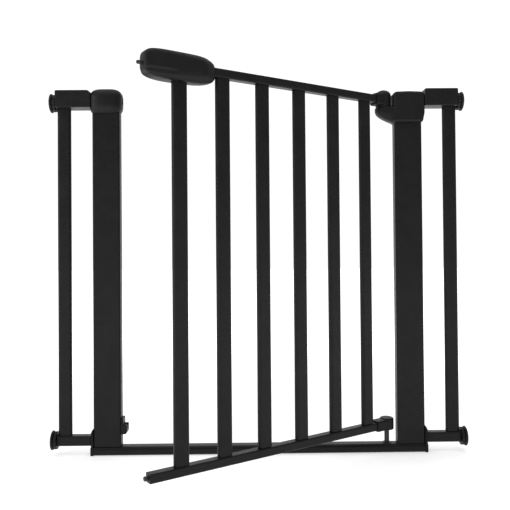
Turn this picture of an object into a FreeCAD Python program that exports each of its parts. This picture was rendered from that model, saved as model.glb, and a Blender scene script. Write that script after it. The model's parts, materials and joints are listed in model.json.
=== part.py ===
import FreeCAD, Part

import math
import os

# A pressure-fit safety gate for a doorway: a steel U-frame, a barred door on two hinge pins,
# one extension bar on each side and four screw spindles with wall pads.
# Frame: +X to the hinge side, +Y away from the person in front, +Z up.
# The origin is on the floor, in the middle of the opening.  Sizes are in millimetres.

V = FreeCAD.Vector

# ---- clearances and walls -----------------------------------------------------------------
GAP = 0.1                  # clearance of a piece that is pushed into another
RUNNING = 0.06             # radial clearance of a pin that turns or slides
PRESS = 0.05               # radial clearance of a pin that is fixed in its hole
STEEL = 1.3                # wall of the door's, posts' and extensions' tubes
HEAVY = 1.5                # wall of the threshold and of the foot tubes
SHELL = 2.4                # wall of the moulded covers

# ---- U-frame ------------------------------------------------------------------------------
POST_X = 315.1             # centre of each post from the middle of the opening
POST_W = 57.2
POST_D = 24.0
POST_R = 4.0
LEFT_POST_TOP = 712.0
RIGHT_POST_TOP = 728.0
THRESHOLD_D = 28.0
THRESHOLD_H = 18.0
THRESHOLD_R = 6.5
CAP_X = 350.0              # outer face of the corner caps
CAP_TOP = 54.0
POST_IN = POST_X - POST_W / 2
POST_OUT = POST_X + POST_W / 2

# ---- extensions, spindles and pads --------------------------------------------------------
BAR_W = 28.2               # flat oval tube of the door bars and of the extension bars
BAR_D = 12.0
BAR_R = 5.6
EXT_X = 403.9              # centre of each extension bar
EXT_TOP = 726.0
FOOT_Z = 30.0              # axis of the lower spindles
FOOT_H = 20.5
FOOT_D = 20.0
BLOCK_X = 419.2            # outer face of the extension blocks and of the foot tubes
BLOCK_Z = (721.0, 757.0)
BLOCK_HALF = 19.0
STUD_R = 4.0
STUD_Z = 739.0
SPINDLE_R = 4.0
SPINDLE_Z = 732.5          # axis of the upper spindles
SPINDLE_START = 363.0
SPINDLE_STOP = 4.2         # the spindle ends this far inside the pad's outer face
THREAD_PITCH = 3.0
THREAD_DEPTH = 0.6
WHEEL_NEAR = BLOCK_X + 0.6
WHEEL_H = 6.0
WHEEL_R = 18.5
PAD_R = 20.0
PAD_H = 2.6
WALL_FACE = 431.5          # outer face of the wall pads

# ---- latch side: housing and lower catch --------------------------------------------------
HOUSING_X = (-350.0, -281.5)
HOUSING_Z = (704.0, 761.0)
HOUSING_HALF = 24.0
HOUSING_RIM = 19.0
HOUSING_CORNER = 20.0
HOUSING_SCREWS = [(-336.0, 737.0), (-303.0, 722.0)]
POCKET_X = -292.0          # back of the pocket for the bolt
POCKET_Z = (729.0, 750.0)
POCKET_HALF = 6.0
CATCH_BASE = 4.5           # thickness of the catch's base on the post
CATCH_FACE = -274.4        # outer face of the catch's ears
CATCH_SCREW_Z = (49.0, 71.0)

# ---- hinge side ---------------------------------------------------------------------------
HINGE_X = 266.0
HINGE_BODY_X = (283.2, 349.5)
HINGE_BODY_TOP = 751.8
HINGE_BODY_HALF = 20.0
HINGE_SCREWS = [(300.0, 742.0), (338.0, 742.0), (317.0, 735.0)]
LUG_R = 17.8
LUG_Z = (686.0, 719.2)
UPPER_PIN_R = 4.0
UPPER_PIN_Z = (702.0, 743.0)
PIN_R = 5.0                # lower hinge pin
PIN_Z = (4.0, 66.0)
RING_R = 8.0               # snap ring on the lower pin
BUSH_R = 8.0
KNUCKLE_R = 16.0
KNUCKLE_Z = (720.6, 756.5)
LOW_CAP_R = 14.5
LOW_CAP_Z = (46.6, 70.4)

# ---- door; t is the distance from the hinge axis towards the latch side --------------------
DOOR_ANGLE = 33.02         # the door stands open by this angle
BAR_T = 55.0               # first door bar
BAR_PITCH = 84.8
BAR_COUNT = 6
RAIL_H = 16.0
RAIL_D = 18.0
RAIL_R = 2.5
RAIL_START = 12.0
TOP_RAIL_Z = 727.0
TOP_RAIL_END = 496.0
LOW_RAIL_Z = 49.2
LOW_RAIL_END = 537.5
LOW_RAIL_MID = LOW_RAIL_Z + RAIL_H / 2
DOOR_LENGTH = 539.5
CATCH_PIN_R = 4.0
CATCH_PIN_T = (524.5, 547.0)

# ---- handle and latch ---------------------------------------------------------------------
HANDLE_T = (409.5, 546.5)
HANDLE_Z = (708.8, 759.2)
HANDLE_HALF = 18.5
HANDLE_SCREWS_T = [(440.0, 716.0), (514.0, 714.5), (432.0, 748.0)]
GROOVE_Z = 722.5           # finger groove on both faces of the handle
BOLT_Z = 733.4
BOLT_R = 3.25
BOLT_TIP = 556.0
COLLAR_T = (517.0, 521.0)
COLLAR_R = 6.0
SPRING_SEAT = 499.0
SLOT_T = (491.5, 518.5)    # slot for the neck of the thumb slide
DISH_T = (486.0, 524.0)    # sunk field round the thumb slide
DISH_HALF = 8.4
DISH_FLOOR = 755.5

# ---- screws -------------------------------------------------------------------------------
HEAD_R = 3.4
SHANK_R = 1.7
SINK = 6.0                 # depth of a counterbore in the rear of a cover
BOSS_R = 4.2


# ---- basic shapes -------------------------------------------------------------------------
def box(x, y, z):
    """A box from three (low, high) pairs."""
    return Part.makeBox(x[1] - x[0], y[1] - y[0], z[1] - z[0], V(x[0], y[0], z[0]))


def rod(start, direction, radius, length):
    return Part.makeCylinder(radius, length, V(*start), V(*direction))


def both(half):
    """The (low, high) pair that is centred on zero."""
    return (-half, half)


def runs_along(edge, axis):
    """Is this a straight edge along axis 0, 1 or 2?"""
    if not isinstance(edge.Curve, Part.Line):
        return False
    return abs(abs(edge.tangentAt(edge.FirstParameter)[axis]) - 1) < 1e-6


def lies_at(edge, axis, place):
    """Do all of the edge's ends lie at this coordinate?"""
    return all(abs(v.Point[axis] - place) < 1e-5 for v in edge.Vertexes)


def rounded(shape, radius, keep):
    """Fillet the edges that the function keep accepts."""
    return shape.makeFillet(radius, [e for e in shape.Edges if keep(e)])


def bar(x, y, z, axis, radius):
    """A box whose four edges along one axis are rounded."""
    return rounded(box(x, y, z), radius, lambda e: runs_along(e, axis))


def tube(x, y, z, axis, radius, wall):
    """A hollow bar, open at both ends."""
    inner = [(low + wall, high - wall) for low, high in (x, y, z)]
    ends = (x, y, z)[axis]
    inner[axis] = (ends[0] - 1, ends[1] + 1)
    return bar(x, y, z, axis, radius).cut(bar(*inner, axis, max(radius - wall, 0.6)))


def pebble(x, half, z, low_r, high_r, rim_r):
    """A soft block: rounded in side view at its low-x and high-x ends, and along both rims."""
    def end(place):
        return lambda e: runs_along(e, 1) and lies_at(e, 0, place)
    body = rounded(box(x, both(half), z), low_r, end(x[0]))
    body = rounded(body, high_r, end(x[1]))
    return rounded(body, rim_r, lambda e: lies_at(e, 1, -half) or lies_at(e, 1, half))


def hollow_pebble(x, half, z, low_r, high_r, rim_r):
    inside = pebble((x[0] + SHELL, x[1] - SHELL), half - SHELL, (z[0] + SHELL, z[1] - SHELL),
                    low_r - SHELL, high_r - SHELL, rim_r - SHELL)
    return pebble(x, half, z, low_r, high_r, rim_r), inside


def outline(points, thickness):
    """A plate from (x, z) points; a point of three numbers rounds its corner by the third."""
    corners = [V(p[0], 0, p[1]) for p in points]
    radii = [p[2] if len(p) == 3 else 0 for p in points]
    edges = []
    starts, ends = [], []
    for i, corner in enumerate(corners):
        before = (corners[i - 1] - corner).normalize()
        after = (corners[(i + 1) % len(corners)] - corner).normalize()
        if not radii[i]:
            starts.append(corner)
            ends.append(corner)
            continue
        half_turn = before.getAngle(after) / 2
        reach = radii[i] / math.tan(half_turn)
        starts.append(corner + before * reach)
        ends.append(corner + after * reach)
        middle = (before + after).normalize()
        tip = corner + middle * (radii[i] / math.sin(half_turn) - radii[i])
        edges.append(Part.Arc(starts[i], tip, ends[i]).toShape())
    for i in range(len(corners)):
        following = (i + 1) % len(corners)
        if starts[following].distanceToPoint(ends[i]) > 1e-6:
            edges.append(Part.LineSegment(ends[i], starts[following]).toShape())
    face = Part.Face(Part.Wire(Part.__sortEdges__(edges)))
    plate = face.extrude(V(0, 2 * thickness, 0))
    plate.translate(V(0, -thickness, 0))
    return plate


def turned(profile, centre, direction):
    """Turn a profile of (radius, height) points, from the axis and back to it."""
    points = [V(r, 0, h) for r, h in profile]
    solid = Part.Face(Part.makePolygon(points + [points[0]])).revolve(V(), V(0, 0, 1), 360)
    solid.Placement = FreeCAD.Placement(V(*centre), FreeCAD.Rotation(V(0, 0, 1), V(*direction)))
    return solid


def halves(shape):
    """Split a cover at its middle plane into its front and rear mouldings."""
    far = 2000
    front = box(both(far), (-far, 0), both(far))
    rear = box(both(far), (0, far), both(far))
    return shape.common(front), shape.common(rear)


def mirrored(shape):
    """The same piece on the other side of the opening."""
    return shape.mirror(V(), V(1, 0, 0))


def group(shapes):
    return Part.makeCompound(shapes)


def cut_all(shape, tools):
    for tool in tools:
        shape = shape.cut(tool)
    return shape


def screw(x, z, face_y, depth):
    """A pan-head screw driven towards -Y, with a crossed recess in its head."""
    height = 2.2
    profile = [(0, 0), (HEAD_R, 0), (HEAD_R, 0.6 * height), (0.7 * HEAD_R, height), (0, height)]
    head = turned(profile, (x, face_y, z), (0, 1, 0))
    shank = rod((x, face_y, z), (0, -1, 0), SHANK_R, depth)
    arm = 0.62 * HEAD_R
    recess = (face_y + 0.45 * height, face_y + height + 1)
    cross = box((x - arm, x + arm), recess, (z - 0.45, z + 0.45)).fuse(
        box((x - 0.45, x + 0.45), recess, (z - arm, z + arm)))
    return head.fuse(shank).cut(cross)


def cover_screws(places, half):
    """The screws that hold the two halves of a cover together, driven from the rear."""
    return [screw(x, z, half - SINK, 2 * half - 13) for x, z in places]


def screw_bosses(places, inner_half):
    """Solid pillars from the front wall to the rear wall of a cover."""
    return [rod((x, -inner_half, z), (0, 1, 0), BOSS_R, 2 * inner_half) for x, z in places]


def screw_holes(places, half):
    """Counterbored holes that open at the rear face."""
    holes = []
    for x, z in places:
        holes.append(rod((x, -half + 5, z), (0, 1, 0), SHANK_R + GAP, 2 * half))
        holes.append(rod((x, half - SINK, z), (0, 1, 0), HEAD_R + GAP, 20))
    return holes


# ---- the door's own layout: it is drawn shut, along -X from the hinge axis -----------------
def at(t):
    return HINGE_X - t


def span(t):
    """The x pair of a (near, far) pair of distances from the hinge axis."""
    return (at(t[1]), at(t[0]))


def opened(shape):
    """Swing a piece of the shut door to where the door stands."""
    turned_shape = shape.copy()
    turned_shape.rotate(V(HINGE_X, 0, 0), V(0, 0, 1), DOOR_ANGLE)
    return turned_shape


# ---- pieces of the U-frame ----------------------------------------------------------------
def threshold_bar():
    body = tube(both(POST_OUT), both(THRESHOLD_D / 2), (0, THRESHOLD_H), 0, THRESHOLD_R, HEAVY)
    return body.cut(rod((HINGE_X, 0, THRESHOLD_H / 2), (0, 0, 1), BUSH_R + GAP / 2, THRESHOLD_H))


def post(top):
    """The left post; the stud hole is in its outer wall."""
    x = (-POST_OUT, -POST_IN)
    body = tube(x, both(POST_D / 2), (THRESHOLD_H, top), 2, POST_R, STEEL)
    return body.cut(rod((-POST_OUT - 1, 0, FOOT_Z), (1, 0, 0), STUD_R + GAP, 5))


def left_post():
    body = post(LEFT_POST_TOP)
    for z in CATCH_SCREW_Z:
        body = body.cut(rod((-POST_IN + 1, 0, z), (-1, 0, 0), SHANK_R + GAP, 5))
    return body


def corner_cap():
    """The moulded foot that closes the threshold's end and holds the post's outer face."""
    slope = 4.5
    profile = [(-CAP_X, 0, 2), (-CAP_X, CAP_TOP - 9, 3), (-CAP_X + slope, CAP_TOP, 1), (-POST_OUT, CAP_TOP),
               (-POST_OUT, 0)]
    plate = outline(profile, THRESHOLD_D / 2)
    plate = rounded(plate, 2.0, lambda e: runs_along(e, 2) and lies_at(e, 0, -CAP_X))
    wall = HEAVY + GAP
    spigot = bar((-POST_OUT - 1, -POST_OUT + 14), both(THRESHOLD_D / 2 - wall), (wall, THRESHOLD_H - wall), 0,
                 THRESHOLD_R - HEAVY)
    return plate.fuse(spigot).cut(rod((-CAP_X - 1, 0, FOOT_Z), (1, 0, 0), STUD_R + GAP, 12))


def lower_hinge_bush():
    """The bush in the threshold that the lower hinge pin stands in."""
    flange_top = THRESHOLD_H + 1.5
    profile = [(0, 1.7), (BUSH_R - 1, 1.7), (BUSH_R, 2.7), (BUSH_R, THRESHOLD_H), (9.5, THRESHOLD_H),
               (9.5, flange_top - 0.7), (8.8, flange_top), (0, flange_top)]
    bush = turned(profile, (HINGE_X, 0, 0), (0, 0, 1))
    return bush.cut(rod((HINGE_X, 0, PIN_Z[0]), (0, 0, 1), PIN_R + RUNNING, THRESHOLD_H))


def lower_catch():
    """The catch on the left post: two ears with a slot between them that opens upwards."""
    post_face = -POST_IN
    base_face = post_face + CATCH_BASE
    slot_half = CATCH_PIN_R + 0.6
    base = bar((post_face, base_face), both(12), (43, 77), 0, 2.5)
    ears = outline([(post_face, 44), (CATCH_FACE - 3, 44, 1), (CATCH_FACE, 47.5, 1), (CATCH_FACE, 63, 1.5),
                    (post_face, 63)], 12.0)
    slot = rod((base_face, 0, LOW_RAIL_MID), (1, 0, 0), slot_half, 20).fuse(
        box((base_face, base_face + 20), both(slot_half), (LOW_RAIL_MID, 80)))
    body = base.fuse(ears.cut(slot))
    for z in CATCH_SCREW_Z:
        body = body.cut(rod((post_face - 1, 0, z), (1, 0, 0), SHANK_R + GAP, 30))
        body = body.cut(rod((post_face + 2.2, 0, z), (1, 0, 0), HEAD_R + GAP, 30))
    return body


def catch_screws():
    screws = []
    for z in CATCH_SCREW_Z:
        piece = screw(0, 0, 0, 9)
        piece.rotate(V(), V(0, 0, 1), -90)
        piece.translate(V(-POST_IN + 2.2, 0, z))
        screws.append(piece)
    return group(screws)


# ---- latch housing on the left post -------------------------------------------------------
def post_plug(x, top):
    """The space that a post's top end takes up in a cover."""
    return bar((x[0] - GAP, x[1] + GAP), both(POST_D / 2 + GAP), (600, top + GAP), 2, POST_R)


def housing_pillow(room=0.0):
    """The latch housing's outside, or a slightly larger copy of it."""
    x = (HOUSING_X[0] - room, HOUSING_X[1] + room)
    z = (HOUSING_Z[0] - room, HOUSING_Z[1] + room)
    return pebble(x, HOUSING_HALF + room, z, HOUSING_CORNER + room, HOUSING_CORNER + room, HOUSING_RIM + room)


def latch_housing():
    shape, inside = hollow_pebble(HOUSING_X, HOUSING_HALF, HOUSING_Z, HOUSING_CORNER, HOUSING_CORNER, HOUSING_RIM)
    shape = shape.cut(inside)
    # walls of the pocket that the bolt goes into
    frame_x = (POCKET_X - 3.5, HOUSING_X[1] - 1.5)
    pocket_wall = box(frame_x, both(POCKET_HALF + 3.5), (POCKET_Z[0] - 4, POCKET_Z[1] + 4))
    shape = shape.fuse(pocket_wall.common(housing_pillow()))
    shape = shape.cut(box((POCKET_X, -250), both(POCKET_HALF), (POCKET_Z[0] - 1, POCKET_Z[1] + 1)))
    # a shelf over the post's end, and the screw bosses
    shelf = box((-POST_OUT, -POST_IN), both(HOUSING_HALF - SHELL - 1), (LEFT_POST_TOP + GAP, LEFT_POST_TOP + 2.5))
    shape = shape.fuse(shelf.common(inside))
    for boss in screw_bosses(HOUSING_SCREWS, HOUSING_HALF - SHELL):
        shape = shape.fuse(boss.common(inside))
    shape = shape.cut(post_plug((-POST_OUT, -POST_IN), LEFT_POST_TOP))
    shape = shape.cut(rod((-360, 0, STUD_Z), (1, 0, 0), STUD_R + GAP, 18))
    return halves(cut_all(shape, screw_holes(HOUSING_SCREWS, HOUSING_HALF)))


def strike_liner():
    """The steel liner of the bolt's pocket: a tray that is open towards the door."""
    x = (POCKET_X + GAP, HOUSING_X[1] - 1.6)
    tray = box(x, both(POCKET_HALF - GAP), (POCKET_Z[0] - 1 + GAP, POCKET_Z[1] + 1 - GAP))
    return tray.cut(box((x[0] + 1, x[1] + 1), both(POCKET_HALF - 1), POCKET_Z))


# ---- hinge housing on the right post ------------------------------------------------------
def hinge_outline(inset):
    """Side view of the hinge housing without its lug."""
    left, right = HINGE_BODY_X
    low, high = LUG_Z[0], HINGE_BODY_TOP
    return [(left + inset, low + inset), (left + inset, high - 1 - inset, 7.0 - inset),
            (right - inset, high - inset, 7.0 - inset), (right - inset, 705.0, 6.0),
            (POST_OUT + 1.6 - 0.5 * inset, low + inset)]


def hinge_lug():
    """The nose under the door's knuckle: round in plan, swept up from the post in side view."""
    side = outline([(HINGE_X - LUG_R, LUG_Z[1], 1.5), (POST_IN + 2, LUG_Z[1]), (POST_IN + 2, LUG_Z[0]),
                    (HINGE_BODY_X[0], LUG_Z[0]), (257.0, 696.5, 8.0), (HINGE_X - LUG_R, 704.0, 5.0)], 19.0)
    nose = rod((HINGE_X, 0, LUG_Z[0]), (0, 0, 1), LUG_R, 60)
    plan = nose.fuse(box((HINGE_X, POST_IN + 2), both(LUG_R), (LUG_Z[0], LUG_Z[0] + 60)))
    return side.common(plan)


def hinge_housing():
    outside = outline(hinge_outline(0), HINGE_BODY_HALF)
    outside = rounded(outside, 5.0, lambda e: abs(abs(e.CenterOfMass.y) - HINGE_BODY_HALF) < 1e-5)
    inside = outline(hinge_outline(SHELL), HINGE_BODY_HALF - SHELL)
    shape = outside.cut(inside).fuse(hinge_lug())
    for boss in screw_bosses(HINGE_SCREWS, HINGE_BODY_HALF - SHELL):
        shape = shape.fuse(boss.common(inside))
    shape = shape.cut(post_plug((POST_IN, POST_OUT), RIGHT_POST_TOP))
    shape = shape.cut(rod((360, 0, STUD_Z), (-1, 0, 0), STUD_R + GAP, 18))
    shape = shape.cut(rod((HINGE_X, 0, UPPER_PIN_Z[0]), (0, 0, 1), UPPER_PIN_R + PRESS, 60))
    return halves(cut_all(shape, screw_holes(HINGE_SCREWS, HINGE_BODY_HALF)))


def housing_screws():
    return group(cover_screws(HOUSING_SCREWS, HOUSING_HALF) + cover_screws(HINGE_SCREWS, HINGE_BODY_HALF))


def upper_hinge_pin():
    length = UPPER_PIN_Z[1] - UPPER_PIN_Z[0]
    profile = [(0, 0), (UPPER_PIN_R, 0), (UPPER_PIN_R, length - 1), (UPPER_PIN_R - 1, length), (0, length)]
    return turned(profile, (HINGE_X, 0, UPPER_PIN_Z[0]), (0, 0, 1))


def upper_hinge_bush():
    """The thin washer between the lug and the door's knuckle."""
    washer = rod((HINGE_X, 0, LUG_Z[1]), (0, 0, 1), 13.0, 1.2)
    return washer.cut(rod((HINGE_X, 0, LUG_Z[1] - 1), (0, 0, 1), UPPER_PIN_R + RUNNING, 5))


# ---- extensions and spindles, drawn for the left side -------------------------------------
def extension_bar():
    x = (-EXT_X - BAR_W / 2, -EXT_X + BAR_W / 2)
    return tube(x, both(BAR_D / 2), (FOOT_Z + FOOT_H / 2, EXT_TOP), 2, BAR_R, STEEL)


def bar_socket():
    """The space that the top of an extension bar takes up in its block."""
    reach = BAR_W / 2 + GAP
    return bar((-EXT_X - reach, -EXT_X + reach), both(BAR_D / 2 + GAP), (BLOCK_Z[0] - 1, EXT_TOP + GAP), 2, BAR_R)


def extension_block(near, corner):
    """The moulded block on top of the extension bar, from near outwards, with one rounded corner."""
    x = (-BLOCK_X, near)
    block = rounded(box(x, both(BLOCK_HALF), BLOCK_Z), corner,
                    lambda e: runs_along(e, 1) and lies_at(e, 0, near) and lies_at(e, 2, BLOCK_Z[1]))
    block = rounded(block, 2.5, lambda e: lies_at(e, 1, -BLOCK_HALF) or lies_at(e, 1, BLOCK_HALF))
    spindle_bore = rod((-BLOCK_X - 1, 0, SPINDLE_Z), (1, 0, 0), SPINDLE_R + RUNNING, 62)
    stud_bore = rod((-359.0, 0, STUD_Z), (1, 0, 0), STUD_R + GAP, 30)
    return cut_all(block, [bar_socket(), spindle_bore, stud_bore])


def left_extension_block():
    """The block that is hollowed to the latch housing's rounded side."""
    return extension_block(HOUSING_X[0] + 0.6, 9.0).cut(housing_pillow(PRESS))


def right_extension_block():
    """The block that stands against the hinge housing's flat side."""
    return mirrored(extension_block(-HINGE_BODY_X[1], 3.0))


def foot_tube():
    z = (FOOT_Z - FOOT_H / 2, FOOT_Z + FOOT_H / 2)
    return tube((-BLOCK_X, -CAP_X), both(FOOT_D / 2), z, 0, 3.0, HEAVY)


def foot_plugs():
    """The moulded plugs in both ends of a foot tube."""
    inner = FOOT_D / 2 - HEAVY - GAP
    z = (FOOT_Z - FOOT_H / 2 + HEAVY + GAP, FOOT_Z + FOOT_H / 2 - HEAVY - GAP)
    outer = bar((-BLOCK_X, -BLOCK_X + 16), both(inner), z, 0, 1.5)
    outer = outer.cut(rod((-BLOCK_X - 1, 0, FOOT_Z), (1, 0, 0), SPINDLE_R + RUNNING, 20))
    near = bar((-CAP_X - 10, -CAP_X), both(inner), z, 0, 1.5)
    near = near.cut(rod((-CAP_X - 8, 0, FOOT_Z), (1, 0, 0), STUD_R + GAP, 20))
    return [outer, near]


def extension_studs():
    """The studs that hold one extension to the U-frame, above and below."""
    upper = rod((-358.0, 0, STUD_Z), (1, 0, 0), STUD_R, 15)
    lower = rod((-CAP_X - 8, 0, FOOT_Z), (1, 0, 0), STUD_R, 19)
    return [upper, lower]


def spindle(z):
    """The threaded rod; its thread is cut as rings, one to a pitch."""
    start, end = SPINDLE_START, WALL_FACE - SPINDLE_STOP
    profile = [(0, 0), (SPINDLE_R - 1, 0), (SPINDLE_R, 1)]
    height = 2.0
    while height + THREAD_PITCH < end - start - 7:
        root = SPINDLE_R - THREAD_DEPTH
        profile += [(SPINDLE_R, height), (root, height + 0.8), (root, height + 1.2), (SPINDLE_R, height + 2.0)]
        height += THREAD_PITCH
    profile += [(SPINDLE_R, end - start), (0, end - start)]
    return turned(profile, (-start, 0, z), (-1, 0, 0))


def hand_wheel(z):
    """The grip wheel that runs on the spindle, with finger scallops round its rim."""
    radius, thick, scallops = WHEEL_R, WHEEL_H, 12
    profile = [(0, 0), (radius - 1.2, 0), (radius, 1.2), (radius, thick - 1.2), (radius - 1.2, thick), (0, thick)]
    wheel = turned(profile, (0, 0, 0), (0, 0, 1))
    for i in range(scallops):
        angle = 2 * math.pi * i / scallops
        reach = radius + 1.6
        wheel = wheel.cut(rod((reach * math.cos(angle), reach * math.sin(angle), -1), (0, 0, 1), 3.4, thick + 2))
    wheel = wheel.cut(rod((0, 0, -1), (0, 0, 1), SPINDLE_R + RUNNING, thick + 2))
    wheel.Placement = FreeCAD.Placement(V(-WHEEL_NEAR, 0, z), FreeCAD.Rotation(V(0, 0, 1), V(-1, 0, 0)))
    return wheel


def pad_cup(z):
    """The rigid cup that carries the rubber pad; its neck is fixed on the spindle's end."""
    near, far = WHEEL_NEAR + WHEEL_H + 0.6, WALL_FACE - PAD_H
    depth = far - near
    profile = [(0, 0), (PAD_R - 3, 0), (PAD_R - 0.6, 1.2), (PAD_R - 0.6, depth), (0, depth)]
    cup = turned(profile, (-near, 0, z), (-1, 0, 0))
    return cup.cut(rod((-near + 1, 0, z), (-1, 0, 0), SPINDLE_R + PRESS, WALL_FACE - SPINDLE_STOP - near + 1))


def rubber_pad(z):
    profile = [(0, 0), (PAD_R, 0), (PAD_R, PAD_H - 1.4), (PAD_R - 1.4, PAD_H), (0, PAD_H)]
    return turned(profile, (-WALL_FACE + PAD_H, 0, z), (-1, 0, 0))


# ---- door ---------------------------------------------------------------------------------
def door_bar(t):
    x = (at(t) - BAR_W / 2, at(t) + BAR_W / 2)
    return tube(x, both(BAR_D / 2), (LOW_RAIL_Z + RAIL_H, TOP_RAIL_Z), 2, BAR_R, STEEL)


def rail(low, end):
    return tube(span((RAIL_START, end)), both(RAIL_D / 2), (low, low + RAIL_H), 0, RAIL_R, STEEL)


def rail_space(low, t):
    """The space that a rail takes up in a moulding."""
    return bar(span(t), both(RAIL_D / 2 + GAP), (low - GAP, low + RAIL_H + GAP), 0, RAIL_R)


def upper_knuckle():
    """The domed cap on the top rail's hinge end; it turns on the upper pin."""
    bottom, top = KNUCKLE_Z
    rise = 12.0
    shoulder = top - rise
    steps = 8
    dome = [(KNUCKLE_R * math.cos(math.pi / 2 * i / steps), shoulder + rise * math.sin(math.pi / 2 * i / steps))
            for i in range(1, steps)]
    profile = [(0, bottom), (KNUCKLE_R - 1, bottom), (KNUCKLE_R, bottom + 1), (KNUCKLE_R, shoulder)]
    body = turned(profile + dome + [(0, top)], (HINGE_X, 0, 0), (0, 0, 1))
    sleeve = bar(span((0, 27)), both(12.5), (bottom + 0.9, 748.5), 0, 4.0)
    body = body.fuse(sleeve).cut(rail_space(TOP_RAIL_Z, (RAIL_START, 60)))
    bore = UPPER_PIN_Z[1] + 1 - bottom
    return body.cut(rod((HINGE_X, 0, bottom - 1), (0, 0, 1), UPPER_PIN_R + RUNNING, bore + 1))


def lower_hinge_cap():
    """The cap on the bottom rail's hinge end; it stands on the lower pin."""
    low, high = LOW_CAP_Z
    profile = [(0, low), (LOW_CAP_R - 1.5, low), (LOW_CAP_R, low + 1.5), (LOW_CAP_R, high - 2.5),
               (LOW_CAP_R - 2.5, high), (0, high)]
    body = turned(profile, (HINGE_X, 0, 0), (0, 0, 1))
    sleeve = bar(span((0, 35)), both(12.0), (low, high - 2), 0, 3.0)
    body = body.fuse(sleeve).cut(rail_space(LOW_RAIL_Z, (RAIL_START, 60)))
    body = body.cut(rod((HINGE_X, 0, low - 1), (0, 0, 1), PIN_R + RUNNING, PIN_Z[1] - low + 1))
    return body.cut(rod((HINGE_X, 0, low - 1), (0, 0, 1), RING_R + 0.5, 3.4))


def lower_hinge_pin():
    """The pin that the door turns on; it can rise in the threshold's bush."""
    low, high = PIN_Z
    profile = [(0, low), (PIN_R - 1, low), (PIN_R, low + 1), (PIN_R, high - 1), (PIN_R - 1, high), (0, high)]
    return turned(profile, (HINGE_X, 0, 0), (0, 0, 1))


def pin_ring():
    """The snap ring on the lower pin, just inside the cap."""
    low = LOW_CAP_Z[0] + 0.4
    ring = rod((HINGE_X, 0, low), (0, 0, 1), RING_R, 1.4)
    return ring.cut(rod((HINGE_X, 0, low - 1), (0, 0, 1), PIN_R + PRESS, 4))


def rail_end_cap():
    """The moulded end of the bottom rail, with the hole for the catch pin."""
    plate = bar(span((LOW_RAIL_END, DOOR_LENGTH)), both(RAIL_D / 2), (LOW_RAIL_Z, LOW_RAIL_Z + RAIL_H), 0, RAIL_R)
    inner = STEEL + GAP
    plug = bar(span((LOW_RAIL_END - 16, LOW_RAIL_END + 0.5)), both(RAIL_D / 2 - inner),
               (LOW_RAIL_Z + inner, LOW_RAIL_Z + RAIL_H - inner), 0, 1.0)
    return plate.fuse(plug).cut(rod((at(CATCH_PIN_T[0]), 0, LOW_RAIL_MID), (-1, 0, 0), CATCH_PIN_R + PRESS, 30))


def catch_pin():
    length = CATCH_PIN_T[1] - CATCH_PIN_T[0]
    profile = [(0, 0), (CATCH_PIN_R, 0), (CATCH_PIN_R, length - 1), (CATCH_PIN_R - 1, length), (0, length)]
    return turned(profile, (at(CATCH_PIN_T[0]), 0, LOW_RAIL_MID), (-1, 0, 0))


# ---- handle and latch ---------------------------------------------------------------------
def handle_screw_places():
    return [(at(t), z) for t, z in HANDLE_SCREWS_T]


def handle():
    shape, inside = hollow_pebble(span(HANDLE_T), HANDLE_HALF, HANDLE_Z, 18.0, 24.0, 13.0)
    shape = shape.cut(inside)
    ribs = [box(span((SPRING_SEAT - 2, SPRING_SEAT)), both(30), (700, 745)),
            box(span((530, 533)), both(30), (722, 745)),
            box(span((DISH_T[0] - 2, DISH_T[1] + 2)), both(DISH_HALF + 2), (DISH_FLOOR - 3, 760))]
    for rib in ribs:
        shape = shape.fuse(rib.common(inside))
    for boss in screw_bosses(handle_screw_places(), HANDLE_HALF - SHELL):
        shape = shape.fuse(boss.common(inside))
    finger_groove = [rod((at(549), side * (HANDLE_HALF + 2.4), GROOVE_Z), (1, side * 0.02, 0), 4.0, 62)
                     for side in (-1, 1)]
    last_bar = BAR_T + (BAR_COUNT - 1) * BAR_PITCH
    reach = BAR_W / 2 + GAP
    tools = finger_groove + [
        rail_space(TOP_RAIL_Z, (300, TOP_RAIL_END + GAP)),
        bar(span((last_bar - reach, last_bar + reach)), both(BAR_D / 2 + GAP), (690, TOP_RAIL_Z), 2, BAR_R),
        bar(span(DISH_T), both(DISH_HALF), (DISH_FLOOR, 770), 2, 6.0),
        box(span(SLOT_T), both(4.0), (745, 770)),
        rod((at(SPRING_SEAT + 0.5), 0, BOLT_Z), (-1, 0, 0), BOLT_R + RUNNING, 60)]
    return halves(cut_all(shape, tools + screw_holes(handle_screw_places(), HANDLE_HALF)))


def handle_screws():
    return group(cover_screws(handle_screw_places(), HANDLE_HALF))


def latch_bolt():
    start = COLLAR_T[0]
    length = BOLT_TIP - start
    collar = COLLAR_T[1] - COLLAR_T[0]
    profile = [(0, 0), (COLLAR_R, 0), (COLLAR_R, collar), (BOLT_R, collar), (BOLT_R, length - 1.5),
               (BOLT_R - 1.5, length), (0, length)]
    return turned(profile, (at(start), 0, BOLT_Z), (-1, 0, 0))


def thumb_slide():
    """The slide on top of the handle, with the fork that pulls the bolt back."""
    fork = box(span((COLLAR_T[1], 526.5)), both(6), (727, 750))
    fork = fork.cut(rod((at(515), 0, BOLT_Z), (-1, 0, 0), BOLT_R + RUNNING, 30))
    plate = box(span((499, 526.5)), both(5.5), (748.5, 751.5))
    neck = box(span((502.5, 518)), both(3.6), (751, 757))
    button = bar(span((500, 520)), both(7.0), (755.9, 759.2), 2, 5.0)
    button = rounded(button, 0.8, lambda e: lies_at(e, 2, 759.2))
    for t in (504, 508, 512, 516):
        button = button.cut(rod((at(t), -10, 759.5), (0, 1, 0), 0.8, 20))
    return fork.fuse(plate).fuse(neck).fuse(button)


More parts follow.
